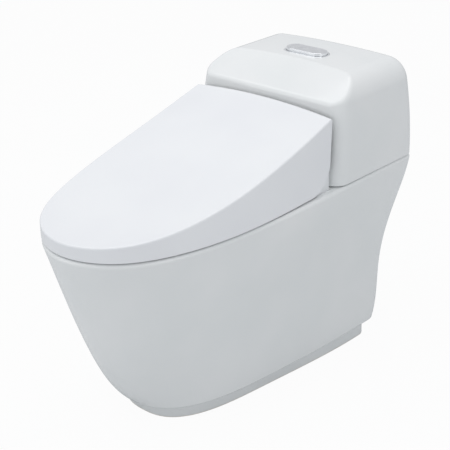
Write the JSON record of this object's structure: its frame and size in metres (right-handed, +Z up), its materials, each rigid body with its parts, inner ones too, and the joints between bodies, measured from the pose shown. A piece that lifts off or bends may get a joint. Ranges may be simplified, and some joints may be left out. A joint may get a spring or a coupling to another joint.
{
  "type": "one-piece toilet",
  "caption": "One-piece toilet with a skirted base, a long sloping seat lid, a lift-off tank cover with a faceted front edge and a slot-shaped flush button on top.",
  "frame": {"origin": "on the floor, in the middle of the toilet's overall length and width", "axes": "+Z up, -Y towards the front of the bowl, +Y towards the wall behind the tank, X across"},
  "size_m": [0.3759, 0.7529, 0.583],
  "materials": {
    "ceramic": "glossy white glaze",
    "seat_plastic": "glossy white moulded plastic",
    "soft_rubber": "matt grey rubber",
    "steel": "satin stainless steel",
    "button_plate": "glossy light plastic",
    "valve_plastic": "matt moulded plastic",
    "brass_bolts": "plain brass",
    "float_plastic": "matt moulded plastic"
  },
  "bodies": {
    "frame": {"ceramic_skirt": "ceramic", "ceramic_bowl": "ceramic", "ceramic_trapway": "ceramic", "outlet_collar": "ceramic", "ceramic_duct": "ceramic", "ceramic_tank": "ceramic", "hinge_housing": "seat_plastic", "lid_pins": "steel", "seat_pins": "steel", "hinge_bolts": "steel", "hinge_washers": "steel", "hinge_nuts": "steel", "flush_valve_body": "valve_plastic", "valve_gasket": "soft_rubber", "valve_bolts": "brass_bolts", "valve_washers": "brass_bolts", "valve_nuts": "brass_bolts", "lever_pin": "steel", "fill_valve_body": "valve_plastic", "fill_valve_gasket": "soft_rubber", "fill_valve_nut": "valve_plastic", "float_lever_pin": "steel", "refill_tube": "soft_rubber", "tube_clip": "valve_plastic", "cover_pads": "soft_rubber", "outlet_gasket": "soft_rubber"},
    "seat": {"seat_ring": "seat_plastic", "seat_bumpers": "soft_rubber"},
    "lid": {"seat_lid": "seat_plastic", "lid_bumpers": "soft_rubber"},
    "cover": {"tank_cover": "ceramic", "button_housing": "button_plate", "button_retainer": "valve_plastic", "button_springs": "steel"},
    "button": {"flush_button": "button_plate", "push_rod": "steel"},
    "lever": {"lift_lever": "valve_plastic"},
    "overflow": {"valve_stem": "valve_plastic", "flush_seal": "soft_rubber"},
    "float": {"float_cup": "float_plastic", "float_link": "steel"},
    "float_arm": {"float_lever": "valve_plastic"}
  },
  "joints": [
    {"name": "lid_hinge", "type": "hinge", "parent": "frame", "child": "lid", "pos_m": [0, 0.108, 0.4995], "axis": [-1, 0, 0], "range_deg": [0, 102]},
    {"name": "seat_hinge", "type": "hinge", "parent": "frame", "child": "seat", "pos_m": [0, 0.064, 0.396], "axis": [-1, 0, 0], "range_deg": [0, 92]},
    {"name": "cover_lift", "type": "slide", "parent": "frame", "child": "cover", "axis": [0, 0.1219, 0.9925], "range_m": [0, 0.2]},
    {"name": "button_press", "type": "slide", "parent": "cover", "child": "button", "axis": [0, 0, -1], "range_m": [0, 0.006], "stiffness_N_per_m": 600, "springref_m": -0.002, "deforming": ["button_springs"]},
    {"name": "lever_tip", "type": "hinge", "parent": "frame", "child": "lever", "pos_m": [0.024, 0.266, 0.445], "axis": [0, 1, 0], "range_deg": [0, 22.1]},
    {"name": "overflow_lift", "type": "slide", "parent": "frame", "child": "overflow", "axis": [0, 0, 1], "range_m": [0, 0.0103]},
    {"name": "float_travel", "type": "slide", "parent": "frame", "child": "float", "axis": [0, 0, -1], "range_m": [0, 0.012]},
    {"name": "float_arm_tip", "type": "hinge", "parent": "frame", "child": "float_arm", "pos_m": [-0.117, 0.25, 0.479], "axis": [0, 1, 0], "range_deg": [0, 17.3]}
  ],
  "couplings": [
    {"joint": "seat_hinge", "follows": "lid_hinge", "ratio": 0.9019},
    {"joint": "lever_tip", "follows": "button_press", "rad_per_m": 64},
    {"joint": "overflow_lift", "follows": "button_press", "ratio": 1.7},
    {"joint": "float_arm_tip", "follows": "float_travel", "rad_per_m": 25}
  ]
}
